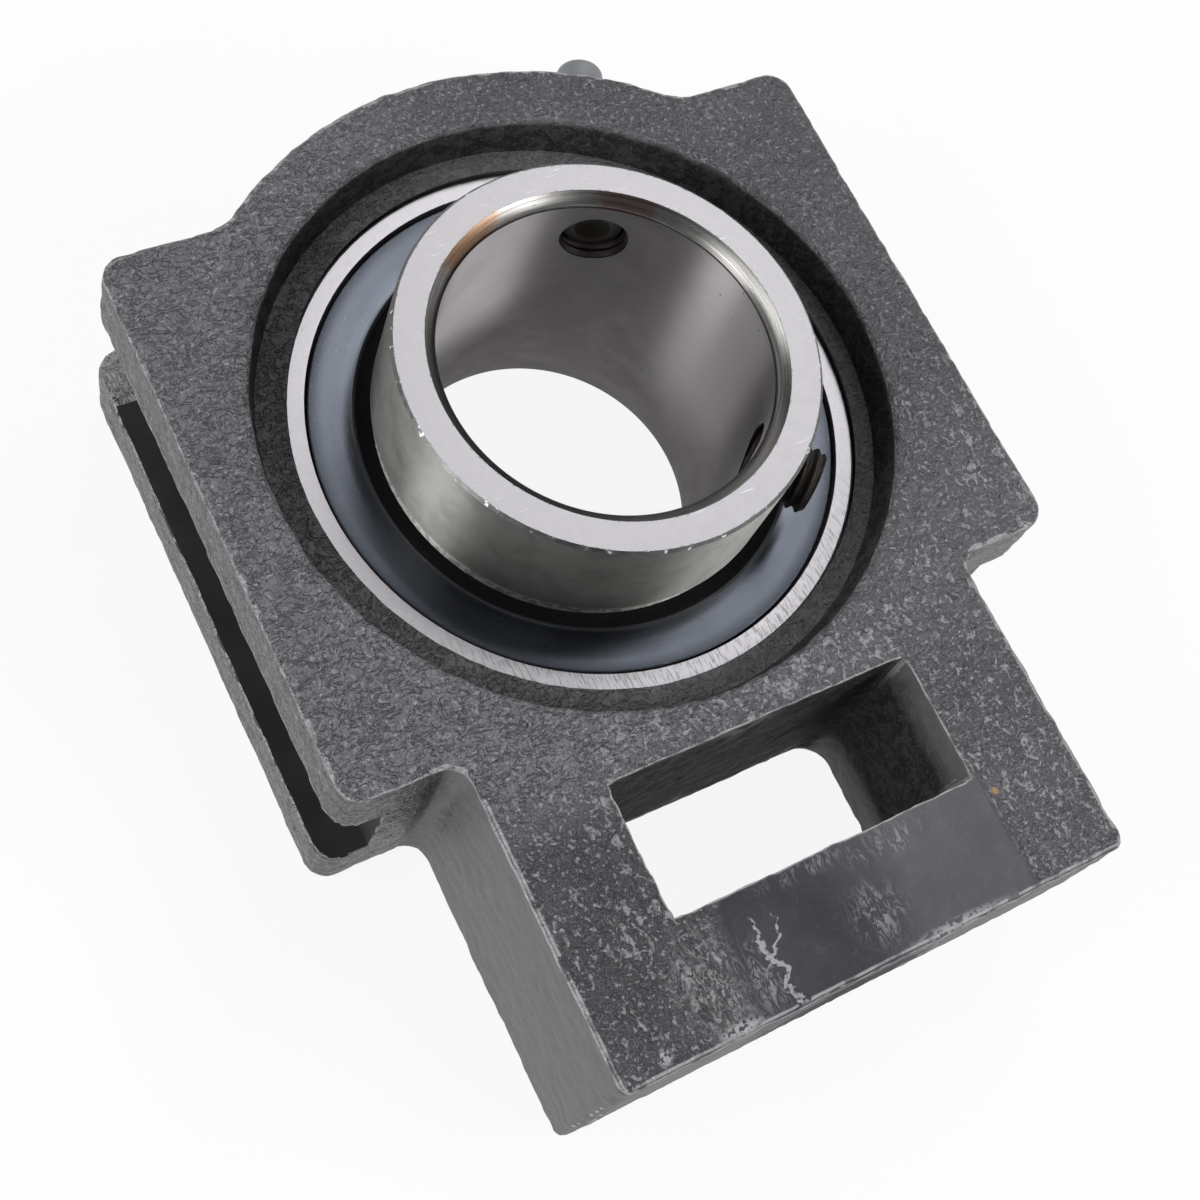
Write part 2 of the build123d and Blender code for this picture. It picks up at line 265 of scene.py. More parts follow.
def combine(piece, others, operation):
    # joins the others to the piece or cuts them out of it, with their finish, then throws them away
    for other in others:
        modifier = piece.modifiers.new("combine", "BOOLEAN")
        modifier.operation = operation
        modifier.solver = "EXACT"
        modifier.material_mode = "TRANSFER"
        modifier.object = other
    keepResult(piece)
    for other in others:
        bpy.data.objects.remove(other)


alongY = Matrix.Rotation(math.radians(90), 4, "X")  # turns a shape built up +Z to point along -Y


def outward(angle, height, start=0.0):
    # turns a shape built up +Z so that it points out from the shaft axis, from the start in mm
    lift, slide = [Matrix.Translation((0, 0, distance * mm)) for distance in (height, start)]
    turn = Matrix.Rotation(math.radians(angle), 4, "Z") @ Matrix.Rotation(math.radians(90), 4, "Y")
    return lift @ turn @ slide


def newFinish(name, metallic=0.0):
    material = bpy.data.materials.new(name)
    material.use_nodes = True
    n = Nodes(material.node_tree)
    n.shader.inputs["Metallic"].default_value = metallic
    coords = n.add("ShaderNodeTexCoord").outputs["Object"]
    inMm = n.add("ShaderNodeMapping", {"Vector": coords, "Scale": (1000, 1000, 1000)}).outputs[0]
    return material, n, inMm


def fromAxis(n, x, y):
    return n.calc("POWER", n.plus(n.times(x, x), n.times(y, y)), 0.5)


def roundAxis(n, split, around, across):
    # coordinates that follow a turned surface: slow round the axis, fast across it
    x, y, z = split
    radius = fromAxis(n, x, y)
    return n.joined(n.times(n.divided(x, radius), around), n.times(n.divided(y, radius), around),
                    n.times(n.plus(radius, z), across))


cameraView = dict(
    position=(-0.114626, -0.096349, 0.261438),
    turn=(24.742262, -13.810816, -27.168361),
    lens=58.508,
    shiftUp=-0.05,
    sensor=36,
    clipStart=0.01,
)


def makeCamera():
    data = bpy.data.cameras.new("camera")
    camera = newObject("camera", data)
    camera.location = cameraView["position"]
    camera.rotation_euler = [math.radians(a) for a in cameraView["turn"]]
    data.sensor_width = cameraView["sensor"]
    data.lens = cameraView["lens"]
    data.shift_y = cameraView["shiftUp"]
    data.clip_start = cameraView["clipStart"]
    bpy.context.scene.camera = camera


studio = dict(
    worldHorizon=(0.14, 0.14, 0.145),
    worldTop=(0.215, 0.215, 0.22),
    topFrom=0.9,
    aim=(0, -0.01, 0),
    lamps=(
        # name, place, size, power
        ("overhead", (0.30, 0.26, 0.636), (0.38, 0.38), 1.6),
        ("highLeft", (-0.561, 0.204, 0.501), (0.72, 0.14), 2.0),
        ("lowRight", (0.477, -0.400, 0.469), (0.66, 0.14), 3.8),
        ("leftSide", (-0.70, -0.05, 0.28), (0.30, 0.55), 2.3),
    ),
)


def makeStudio():
    world = bpy.data.worlds.new("studio")
    bpy.context.scene.world = world
    world.use_nodes = True
    n = Nodes(world.node_tree)
    height = n.split(n.add("ShaderNodeTexCoord").outputs["Generated"])[2]
    rise = n.between(height, 0.0, studio["topFrom"])
    sky = n.blendColour(rise, studio["worldHorizon"], studio["worldTop"])
    n.link(sky, n.tree.nodes["Background"], "Color")
    for name, place, size, power in studio["lamps"]:
        data = bpy.data.lights.new(name, "AREA")
        data.shape = "RECTANGLE"
        data.size, data.size_y = size
        data.energy = power
        lamp = newObject(name, data)
        lamp.location = place
        lamp.rotation_euler = (Vector(studio["aim"]) - Vector(place)).to_track_quat("-Z", "Y").to_euler()


floorSheet = dict(
    flat=2.2,
    turn=0.7,
    steps=72,
    stepsUp=10,
    below=0.0004,
    first=(0.80, 0.80, 0.80),
    second=(0.84, 0.84, 0.84),
    glow=0.9,
)


def makeFloor():
    # a round sheet that turns up at its rim, so that a low view sees no horizon
    f = floorSheet
    z = cadLow.z - f["below"]
    flat, turn, steps, stepsUp = f["flat"], f["turn"], f["steps"], f["stepsUp"]
    profile = [(flat, z)] + [(flat + turn * math.sin(a), z + turn * (1 - math.cos(a)))
                             for a in [math.pi / 2 * k / stepsUp for k in range(1, stepsUp + 1)]]
    points = [(r * math.cos(a), r * math.sin(a), h) for r, h in profile
              for a in [2 * math.pi * k / steps for k in range(steps)]]
    faces = [tuple(range(steps))]
    for low in range(0, (len(profile) - 1) * steps, steps):
        for k in range(steps):
            after = (k + 1) % steps
            faces.append((low + k, low + steps + k, low + steps + after, low + after))
    mesh = bpy.data.meshes.new("floor")
    mesh.from_pydata(points, [], faces)
    for face in mesh.polygons[1:]:
        face.use_smooth = True
    floor = newObject("floor", mesh)
    material = bpy.data.materials.new("floorWhite")
    material.use_nodes = True
    n = Nodes(material.node_tree)
    n.tree.nodes.remove(n.tree.nodes["Principled BSDF"])
    coords = n.add("ShaderNodeTexCoord").outputs["Object"]
    paper = n.blendColour(n.noise(coords, 0.4, detail=3), f["first"], f["second"])
    matt = n.add("ShaderNodeBsdfDiffuse", {"Color": paper}).outputs[0]
    glow = n.add("ShaderNodeEmission", {"Color": (1, 1, 1, 1), "Strength": 1.0}).outputs[0]
    path = n.add("ShaderNodeLightPath").outputs
    seen = n.plus(path["Is Camera Ray"], path["Is Glossy Ray"])
    seen = n.calc("ADD", seen, path["Is Transmission Ray"], clamp=True)
    both = n.add("ShaderNodeMixShader", {0: n.times(seen, f["glow"]), 1: matt, 2: glow}).outputs[0]
    n.link(both, n.tree.nodes["Material Output"], "Surface")
    mesh.materials.append(material)


bpy.context.scene.view_settings.view_transform = "Standard"
makeCamera()
makeStudio()
makeFloor()
print("camera, lamps and floor are set")


castLook = dict(
    dark=(0.036, 0.0355, 0.041),
    middle=(0.061, 0.060, 0.067),
    light=(0.130, 0.128, 0.141),
    side=(0.090, 0.089, 0.094),
    # the crest colour is light bare paint on crests, runs, chips and specks, and also painted highlight on the
    # worms, glints and edge line
    crest=(0.40, 0.395, 0.41),
    # the next colour is painted shade for the pits, the creases and the corner smears
    pitShade=(0.016, 0.0155, 0.0175),
    rust=(0.32, 0.20, 0.09),
    hollowFloor=(0.088, 0.086, 0.091),
    # painted shade: the near-black walls of the recess and window, and the dark pits in them
    hollowWallShade=(0.016, 0.0155, 0.0155),
    hollowPitShade=(0.006, 0.006, 0.006),
    # heights in mm
    wormHeight=0.24,
    creaseDepth=0.26,
    lumpHeight=1.3,
    grainHeight=0.10,
    # zones: (x, y, z, reach in x, y and z, strength), mm
    rubbed=((-17, -49.5, 19, 10, 3.5, 6, 1.0), (2, -49.5, 19, 13, 3.5, 6, 1.2), (20, -50, 19, 7, 4, 6, 1.2),
            (-28, -74, 19, 9, 9, 6, 0.9), (-27, -60, 19, 5, 12, 6, 0.45), (-33, -84, 19, 8, 6, 6, 0.25),
            (33, -62, 19, 9, 26, 6, 0.35), (52, -25, 19, 9, 24, 6, 0.4)),
    streaks=((-24, -83, 19, 6, 9, 6, 1.0), (-17, -85, 19, 3, 6, 6, 0.8), (2, -84, 19, 5, 5, 6, 0.7),
             (8, -76, 19, 8, 2.5, 6, 0.6), (-4, -74.5, 19, 10, 1.6, 6, 0.5)),
    chips=((-23, -89.6, 19, 4, 1.3, 6, 1.0), (-34, -88.5, 19, 1.2, 1.2, 6, 1.0), (12, -90, 19, 9, 1.0, 6, 0.6)),
    # dark smears by the inner corner at the tail: partly dirt, partly painted shade
    sootAndShade=((-45.4, -43.2, 11.5, 3.2, 1.8, 10, 1.0), (-41.6, -45.6, 3, 1.4, 0.9, 11, 0.85)),
    # light runs of paint near the middle of the tail's end: x at the top, top, end, width, wander, drift
    runs=((-15.6, -77.0, -90.8, 0.62, 3.4, 1.8), (-11.4, -77.6, -84.6, 0.40, 2.6, -4.0)),
    speck=(26.9, -76.1, 0),
)
# where the kinds of skin fade in: from the first number to the second, mm
castSpans = dict(
    smoothLeft=(-22.0, -18.0), smoothRight=(26.3, 25.1), smoothDown=(-71.5, -73.5), dullAcross=(9, 4),
    creasedAcross=(2, -22), creasedDown=(-60, -47),
    tailAcross=(10, -8), tailDown=(-50, -60),
    headAcross=(-10, 12), headDown=(-38, -10), fewWorms=(-32, -5),
    flange=(43.5, 45.5), recess=(49.4, 47.8), outside=(49.0, 52.0), face=(18.9, 18.2),
    windowAcross=(25.0, 24.6), windowDown=(10.3, 9.9), windowRight=(22, 24), windowDeep=(19.3, 9.0),
)
recessMiddle = (-0.8, 0, 0)
castWindow = dict(halfWidth=24.55, halfLength=9.85, middle=-63.4, front=19.1, depth=-6.0, arm=2.6, inset=1.3)


def nearest(n, where, zones):
    # how much a point lies in any of the zones
    most = 0.0
    for zone in zones:
        reach = zone[3:6]
        values = {"Vector": where, "Location": [-c / r for c, r in zip(zone, reach)],
                  "Scale": [1 / r for r in reach]}
        near = n.add("ShaderNodeMapping", values).outputs[0]
        away = n.add("ShaderNodeVectorMath", {0: near}, operation="LENGTH").outputs["Value"]
        most = n.larger(n.times(n.between(away, 1.25, 0.2), zone[6]), most)
    return most


def levelLine(n, level, width):
    # 1 along the line where a noise passes its middle
    return n.between(n.absolute(n.minus(level, 0.5)), width, 0.0)


def paintRuns(n, x, y, fine):
    # narrow runs of light paint that wander down the face
    most = 0.0
    for topX, top, end, width, wander, drift in castLook["runs"]:
        below = n.minus(top, y)
        sway = n.noise(n.joined(topX, y), 3.2, detail=2.5, rough=0.6)
        drifted = n.plus(n.times(below, drift / (top - end)), topX)
        middle = n.plus(n.times(n.minus(sway, 0.5), 2 * wander), drifted)
        aside = n.absolute(n.minus(x, middle))
        wide = n.times(n.between(fine, 0.35, 0.65, 0.5, 1.4), n.between(below, 0, 6, 0.35, 1.0), width)
        inside = n.between(n.divided(aside, wide), 1.0, 0.6)
        most = n.larger(most, n.times(inside, n.between(below, 0, 1), n.between(y, end, end + 1)))
    return most


def castSootAndShade(n, inMm):
    # dark smears in the inner corner between the left shoulder and the tail, partly dirt and partly painted
    # shade; their zones shaken by a noise
    shaken = n.add("ShaderNodeTexNoise", {"Vector": inMm, "Scale": 0.8, "Detail": 3}).outputs["Color"]
    for operation, values in (("MULTIPLY_ADD", {1: (5, 5, 5), 2: inMm}), ("SUBTRACT", {1: (2.5, 2.5, 2.5)})):
        shaken = n.add("ShaderNodeVectorMath", {0: shaken, **values}, operation=operation).outputs[0]
    return nearest(n, shaken, castLook["sootAndShade"])


def castPaint():
    material, n, inMm = newFinish("castPaint")
    look, span = castLook, castSpans
    x, y, z = n.split(inMm)
    up = n.absolute(n.split(n.add("ShaderNodeNewGeometry").outputs["Normal"])[2])
    flat = n.between(up, 0.45, 0.9)
    patches = n.noise(inMm, 20, detail=3.0, rough=0.55)
    fine = n.noise(inMm, 0.62, detail=1.0)
    grain = n.noise(inMm, 0.30, detail=1.0, rough=0.6)

    # the end wall between the window and the end is smoother than the rest of the front face
    ragged = n.plus(x, n.times(n.minus(patches, 0.5), 12))
    middle = n.times(n.between(ragged, *span["smoothLeft"]), n.between(x, *span["smoothRight"]))
    smoothPatch = n.times(n.between(y, *span["smoothDown"]), middle, 0.95)
    # the left shoulder is creased like leather, the tail's left is dark and flat under light worms
    creased = n.times(n.between(x, *span["creasedAcross"], 0.30, 1.0), n.between(y, *span["creasedDown"]))
    tailDark = n.times(n.between(x, *span["tailAcross"]), n.between(y, *span["tailDown"]))
    headDark = n.times(n.between(x, *span["headAcross"]), n.between(y, *span["headDown"]), 0.7)
    onFlange = n.between(n.absolute(x), *span["flange"], 0.10, 0.85)
    rough = n.times(n.blendValue(flat, onFlange, 1.0), n.minus(1.0, smoothPatch))

    # worms: crooked raised dashes, their crests lightened partly as worn paint and partly as painted highlight,
    # closer together where the paint is rubbed
    wormLevel = n.noise(n.stretched(inMm, (1.0, 0.62, 1.0), 0.25), 1.10, detail=1.8, distortion=0.6)
    density = n.plus(nearest(n, inMm, look["rubbed"]), n.between(patches, 0.35, 0.65, -0.05, 0.5))
    least = n.minus(0.610, n.times(density, 0.085))
    worms = n.times(n.between(n.minus(wormLevel, least), -0.012, 0.045), rough)
    creaseLevel = n.noise(n.stretched(inMm, (0.66, 1.1, 1.0), -0.2), 1.8, detail=2.2, rough=0.6, distortion=0.7)
    creases = n.larger(levelLine(n, creaseLevel, 0.034), n.times(levelLine(n, wormLevel, 0.020), 0.6))
    creases = n.times(creases, rough, n.larger(creased, 0.22))
    # painted highlight: small glints on the grain
    glints = n.times(n.between(fine, 0.63, 0.68), rough)
    # long streaks where the paint has run towards the tail's end
    runLevel = n.noise(n.stretched(inMm, (1.0, 0.28, 1.0), 0.10), 1.15, detail=2.5, distortion=0.9)
    threads = n.larger(levelLine(n, runLevel, 0.060), n.between(runLevel, 0.58, 0.63))
    streaks = n.times(nearest(n, inMm, look["streaks"]), threads, n.between(fine, 0.34, 0.46, 0.45, 1.0), flat)
    runs = n.times(paintRuns(n, x, y, fine), flat)

    # bright line along the outer edges of the casting: partly worn paint, partly a painted edge highlight
    toEdge = n.times(n.add("ShaderNodeAttribute", attribute_name="edgeDistance").outputs["Fac"], 1000)
    wear = n.noise(inMm, 2.6, detail=3)
    plan = n.joined(x, y)
    away = n.away(plan, recessMiddle)
    line = n.between(toEdge, n.plus(n.times(wear, 0.5), 0.05), 0.10)
    line = n.times(line, n.between(wear, 0.34, 0.52, 0.25, 0.8), n.between(away, *span["outside"], 0.15, 1.0))
    chips = n.times(nearest(n, inMm, look["chips"]), n.between(fine, 0.42, 0.5))

    # share of light colour: bare paint on worn crests, runs, edges and chips, and painted highlight on the
    # worms, glints and edge line
    share = n.times(n.between(fine, 0.36, 0.62, 0.12, 0.55), n.between(creased, 0.3, 1.0, 1.0, 0.6))
    share = n.times(share, n.between(y, *span["fewWorms"], 1.0, 0.35))
    light = n.larger(n.times(worms, share), n.times(glints, 0.40), n.times(streaks, 0.62))
    light = n.larger(light, n.times(runs, n.between(fine, 0.34, 0.56, 0.40, 0.80)))
    light = n.larger(light, n.larger(line, chips))

    face = n.blendColour(n.plus(tailDark, headDark), look["middle"], look["dark"])
    lighter = n.calc("ADD", creased, n.times(n.between(patches, 0.4, 0.65), 0.2), clamp=True)
    face = n.blendColour(lighter, face, look["light"])
    flank = n.blendColour(n.times(onFlange, 0.6), look["side"], look["dark"])
    colour = n.blendColour(n.between(up, 0.6, 0.1), face, flank)
    # painted shade: dark pits in the grain and along the creases, and the corner smears
    pitAndCreaseShade = n.times(n.between(fine, 0.36, 0.30), rough, n.blendValue(tailDark, 0.6, 0.1))
    pitAndCreaseShade = n.larger(n.times(creases, 0.42), pitAndCreaseShade)
    colour = n.blendColour(n.larger(pitAndCreaseShade, castSootAndShade(n, inMm)), colour, look["pitShade"])

    # the recess round the bearing and the window: bare dark skin on their floors, their walls painted near
    # black as painted shade, with painted shade in their pits and creases
    depth = n.absolute(z)
    behindFace = n.between(depth, *span["face"])
    deep = n.blendValue(n.between(x, *span["windowRight"]), behindFace, n.between(depth, *span["windowDeep"]))
    fromMiddle = n.absolute(n.minus(y, castWindow["middle"]))
    window = n.times(n.between(n.absolute(x), *span["windowAcross"]),
                     n.between(fromMiddle, *span["windowDown"]), deep)
    hollow = n.larger(n.times(n.between(away, *span["recess"]), behindFace), window)
    skin = n.blendColour(flat, look["hollowWallShade"], look["hollowFloor"])
    for amount, tone in ((n.times(n.larger(creases, n.between(fine, 0.42, 0.30)), 0.5), look["hollowPitShade"]),
                         (n.times(n.between(grain, 0.58, 0.68), 0.13), look["crest"]),
                         (n.times(n.between(creaseLevel, 0.44, 0.60), 0.06), look["crest"])):
        skin = n.blendColour(amount, skin, tone)
    colour = n.blendColour(hollow, colour, skin)
    light = n.times(light, n.minus(1.0, n.times(hollow, 0.92)))
    # the light marks take the crest colour, partly as painted highlight
    colour = n.blendColour(light, colour, look["crest"])
    spot = n.between(n.away(plan, look["speck"]), 0.7, 0.3)
    colour = n.blendColour(n.times(spot, flat), colour, look["rust"])

    gloss = n.plus(n.between(grain, 0.35, 0.65, 0.34, 0.26), n.times(n.minus(1.0, rough), 0.24))
    gloss = n.larger(gloss, n.times(hollow, 0.7))
    # the smooth patch is dull where it is dark
    dull = n.times(smoothPatch, n.between(x, *span["dullAcross"]), 0.34)
    dull = n.larger(dull, n.larger(n.times(hollow, 0.25), n.times(window, 0.42)))
    n.link(n.minus(0.5, dull), n.shader, "Specular IOR Level")

    lumps = n.plus(n.times(creaseLevel, 0.6), n.times(fine, 0.25))
    lumps = n.times(lumps, rough, n.blendValue(tailDark, look["lumpHeight"], look["lumpHeight"] * 0.5))
    lumps = n.plus(lumps, n.times(n.larger(worms, n.larger(streaks, runs)), look["wormHeight"]))
    lumps = n.minus(lumps, n.times(creases, look["creaseDepth"]))
    low = n.bump(lumps, 1.0)
    n.shade(colour, gloss, n.bump(n.times(grain, rough), look["grainHeight"], under=low))
    return material


def machinedIron(name, colour, roughness, lines):
    # cut by a tool along Y: fine feed lines under a dark film
    material, n, inMm = newFinish(name)
    feed = n.noise(n.stretched(inMm, (1, 0.05, 1)), lines)
    stain = n.noise(inMm, 9, detail=3, rough=0.6)
    dark = tuple(c * 0.6 for c in colour)
    n.shade(n.blendColour(stain, dark, colour), n.between(stain, 0.3, 0.7, roughness - 0.06, roughness + 0.08),
            n.bump(feed, 0.02))
    return material


def brushed(n, amount):
    # grinding marks run round the axis, so reflections stretch along it
    axis = n.add("ShaderNodeVectorTransform", {"Vector": (0, 0, 1)}, vector_type="VECTOR",
                 convert_from="OBJECT", convert_to="WORLD")
    n.shader.inputs["Anisotropic"].default_value = amount
    n.link(axis.outputs[0], n.shader, "Tangent")


steelMarks = dict(
    speck=(0.05, 0.045, 0.04),
    ring=(0.05, 0.048, 0.045),
    grime=(0.07, 0.065, 0.06),
    edgeHighlight=(0.62, 0.61, 0.58),
)


def turnedSteel(name, colour, roughness, around, across, depth=0.004, stretch=0.0, stains=(), grime=0.0,
                line=0.0, rings=0.0):
    material, n, inMm = newFinish(name, metallic=1.0)
    split = n.split(inMm)
    lines = n.noise(roundAxis(n, split, around, across), 1.0, detail=4, rough=0.65)
    cloud = n.noise(inMm, 7, detail=3, rough=0.55)
    base = n.blendColour(cloud, tuple(c * 0.80 for c in colour), colour)
    # heat and oil stains: (angle round the axis, half width in degrees, colour)
    angle = n.times(n.calc("ARCTAN2", split[1], split[0]), 180 / math.pi)
    angle = n.plus(angle, n.times(n.minus(cloud, 0.5), 30))
    for middle, half, stain in stains:
        aside = n.absolute(n.minus(angle, middle))
        share = n.times(n.between(aside, half, half * 0.4), n.between(lines, 0.3, 0.6, 0.7, 1.0))
        base = n.blendColour(share, base, stain)
    # a few dark specks where the steel has pitted
    speck = n.between(n.noise(inMm, 0.8, detail=1), 0.78, 0.82)
    base = n.blendColour(n.times(speck, 0.8), base, steelMarks["speck"])
    if rings:
        base = n.blendColour(n.times(n.between(lines, 0.48, 0.62), rings), base, steelMarks["ring"])
    if grime:
        film = n.noise(inMm, 4.0, detail=4, rough=0.6, distortion=0.6)
        base = n.blendColour(n.times(n.between(film, 0.42, 0.66), grime), base, steelMarks["grime"])
    # painted highlight: a thin light dashed line along the edge at the given height
    if line:
        rim = n.between(n.absolute(split[2]), line + 0.17, line + 0.08)
        rim = n.times(rim, n.between(n.noise(inMm, 1.1), 0.42, 0.5, 0.25, 1.0))
        base = n.blendColour(rim, base, steelMarks["edgeHighlight"])
    change = n.plus(n.times(lines, 0.6), n.times(cloud, 0.4))
    n.shade(base, n.between(change, 0.3, 0.7, roughness - 0.05, roughness + 0.05), n.bump(lines, depth))
    if stretch:
        brushed(n, stretch)
    return material


faceLook = dict(
    dark=(0.405, 0.393, 0.412),
    light=(0.485, 0.473, 0.490),
    grain=(0.16, 0.155, 0.15),
    scratch=(0.80, 0.80, 0.81),
    speck=(0.10, 0.09, 0.08),
    nick=(0.12, 0.115, 0.11),
    # turn in radians, spacing in mm, level above which the noise is a scratch
    scratches=((0.9, 0.30, 0.745), (-0.5, 0.26, 0.75), (2.0, 0.34, 0.745)),
)


def groundFace(name, outer, inner, hatch, nicks, tone=1.0):
    # ground flat: a faint grain, a few thin scratches and specks, nicks at the edges
    material, n, inMm = newFinish(name, metallic=1.0)
    look = faceLook
    x, y, z = n.split(inMm)
    radius = fromAxis(n, x, y)
    cloud = n.noise(inMm, 4, detail=5, rough=0.7)
    dark, light = [tuple(c * tone for c in look[shade]) for shade in ("dark", "light")]
    base = n.blendColour(n.between(cloud, 0.35, 0.65), dark, light)
    grind = n.noise(n.stretched(inMm, (1.0, 0.12, 1), 0.35), 0.30, rough=0.7)
    marks = n.times(n.between(grind, 0.50, 0.62), n.times(n.between(y, -18, -34), hatch))
    base = n.blendColour(marks, base, look["grain"])
    scratch = 0.0
    for turn, size, level in look["scratches"]:
        along = n.stretched(inMm, (0.06, 1.0, 1), turn)
        scratch = n.larger(n.between(n.noise(along, size, detail=1), level, level + 0.03), scratch)
    base = n.blendColour(n.times(scratch, 0.45), base, look["scratch"])
    speck = n.between(n.noise(inMm, 0.55, detail=1), 0.80, 0.83)
    base = n.blendColour(n.times(speck, 0.75), base, look["speck"])
    rim = n.larger(n.between(radius, outer - 0.25, outer), n.between(radius, inner + 0.3, inner))
    nick = n.times(rim, n.between(n.noise(inMm, 0.9, rough=0.6), 0.56, 0.64))
    nick = n.times(nick, nicks)
    height = n.minus(n.times(grind, 0.05), n.plus(scratch, nick))
    base = n.blendColour(nick, base, look["nick"])
    n.shade(base, n.between(cloud, 0.3, 0.7, 0.45, 0.52), n.bump(height, 0.004))
    return material


shadedEdgeLook = dict(dark=(0.10, 0.098, 0.098), middle=(0.19, 0.186, 0.184), bright=(0.90, 0.90, 0.90))


def shadedWornEdge():
    # the bevel is painted dark as painted shade, with bright nicks where it has been knocked
    material, n, inMm = newFinish("shadedWornEdge", metallic=1.0)
    knock = n.noise(inMm, 1.6, detail=4, rough=0.7)
    base = n.blendColour(knock, shadedEdgeLook["dark"], shadedEdgeLook["middle"])
    base = n.blendColour(n.between(knock, 0.60, 0.66), base, shadedEdgeLook["bright"])
    n.shade(base, n.between(knock, 0.4, 0.6, 0.32, 0.48), n.bump(knock, 0.05))
    return material


flingerLook = dict(
    dark=(0.072, 0.079, 0.095),
    light=(0.088, 0.097, 0.116),
    dust=(0.36, 0.37, 0.38),
    # painted highlight for the rolled fold at the inner edge
    foldHighlight=(0.62, 0.65, 0.66),
)


def flingerSteel():
    # blued sheet under fine dust; the rolled fold at its inner edge gets a painted highlight with a faint
    # painted sheen round it
    material, n, inMm = newFinish("flingerSteel", metallic=1.0)
    x, y, z = n.split(inMm)
    radius = fromAxis(n, x, y)
    film = n.noise(inMm, 16)
    dust = n.between(n.noise(inMm, 0.34, rough=0.7), 0.60, 0.72)
    base = n.blendColour(film, flingerLook["dark"], flingerLook["light"])
    base = n.blendColour(n.times(dust, 0.22), base, flingerLook["dust"])
    haloSheen = n.times(n.between(radius, 34.6, 33.6), 0.05)
    foldHighlight = n.times(n.between(radius, 33.95, 33.7), n.between(radius, 33.15, 33.4))
    base = n.blendColour(n.larger(haloSheen, n.times(foldHighlight, 0.12)), base, flingerLook["foldHighlight"])
    duller = n.between(radius, 34.2, 33.6, 0.0, 0.16)
    n.shade(base, n.plus(n.between(film, 0.3, 0.7, 0.24, 0.31), duller), n.bump(dust, 0.006))
    return material


def plainFinish(name, first, second, roughness, metallic, size=2.0, depth=0.01, detail=3.0, shine=0.5):
    # two tones of one material with a fine bump
    material, n, inMm = newFinish(name, metallic=metallic)
    tone = n.noise(inMm, size, detail=detail, rough=0.6)
    n.shader.inputs["Specular IOR Level"].default_value = shine
    n.shade(n.blendColour(tone, first, second), n.between(tone, 0.3, 0.7, roughness - 0.05, roughness + 0.08),
            n.bump(n.noise(inMm, size / 5), depth))
    return material


castFinish = castPaint()
# the groove's near-black tone is partly dark machined iron, partly painted shade of the deep groove
grooveIronShade = machinedIron("grooveIronShade", (0.035, 0.036, 0.038), 0.42, 0.5)
seatIron = machinedIron("seatIron", (0.11, 0.11, 0.115), 0.35, 0.3)
holeIron = machinedIron("holeIron", (0.10, 0.10, 0.105), 0.45, 0.6)
faceSteel = groundFace("faceSteel", 30.75, 26.4, 0.03, 0.7)
outerSteel = groundFace("outerSteel", 45.0, 42.0, 0.60, 0.04, tone=1.32)
edgeSteel = shadedWornEdge()
boreSteel = turnedSteel("boreSteel", (0.345, 0.328, 0.337), 0.54, 5.0, 0.35, stretch=1.0)
collarSteel = turnedSteel("collarSteel", (0.33, 0.325, 0.31), 0.50, 2.0, 0.6, 0.003, stretch=0.97, grime=0.22,
                          line=13.2)
chamferSteel = turnedSteel("chamferSteel", (0.25, 0.245, 0.235), 0.29, 1.0, 3.4, rings=0.7,
                           stains=((117, 16, (0.20, 0.11, 0.06)), (58, 13, (0.17, 0.115, 0.115))))
raceSteel = turnedSteel("raceSteel", (0.66, 0.66, 0.66), 0.14, 2.0, 3.0, 0.001)
flingerFinish = flingerSteel()
# painted shade: the flinger's sleeve and funnel are the same sheet, made near black where they lie in shade
funnelShade = plainFinish("funnelShade", (0.003, 0.003, 0.0035), (0.008, 0.008, 0.009), 0.5, 0.0, 1.5, 0.006,
                          shine=0.12)
sealRubber = plainFinish("sealRubber", (0.006, 0.006, 0.007), (0.012, 0.012, 0.013), 0.6, 0.0, 1.5, 0.02,
                         shine=0.2)
cageSteel = plainFinish("cageSteel", (0.36, 0.35, 0.33), (0.48, 0.47, 0.45), 0.34, 1.0, 4.0, 0.006)
rivetSteel = plainFinish("rivetSteel", (0.42, 0.41, 0.39), (0.54, 0.53, 0.51), 0.36, 1.0, 1.2, 0.006)
ballChrome = plainFinish("ballChrome", (0.66, 0.66, 0.67), (0.72, 0.72, 0.73), 0.08, 1.0, 3.0, 0.0005)
blackOxide = plainFinish("blackOxide", (0.003, 0.0025, 0.002), (0.040, 0.033, 0.027), 0.42, 0.4, 0.6, 0.04,
                         detail=4.0, shine=0.35)
screwPoint = plainFinish("screwPoint", (0.001, 0.001, 0.001), (0.030, 0.025, 0.018), 0.5, 0.5, 0.45, 0.06,
                         shine=0.15)
nippleZinc = plainFinish("nippleZinc", (0.44, 0.43, 0.38), (0.60, 0.59, 0.54), 0.30, 1.0, 1.6, 0.006)
springWire = plainFinish("springWire", (0.40, 0.40, 0.40), (0.52, 0.52, 0.52), 0.28, 1.0, 0.8, 0.004)
capPlastic = plainFinish("capPlastic", (0.19, 0.20, 0.215), (0.225, 0.235, 0.25), 0.46, 0.0, 2.2, 0.02)
print("finishes are mixed")


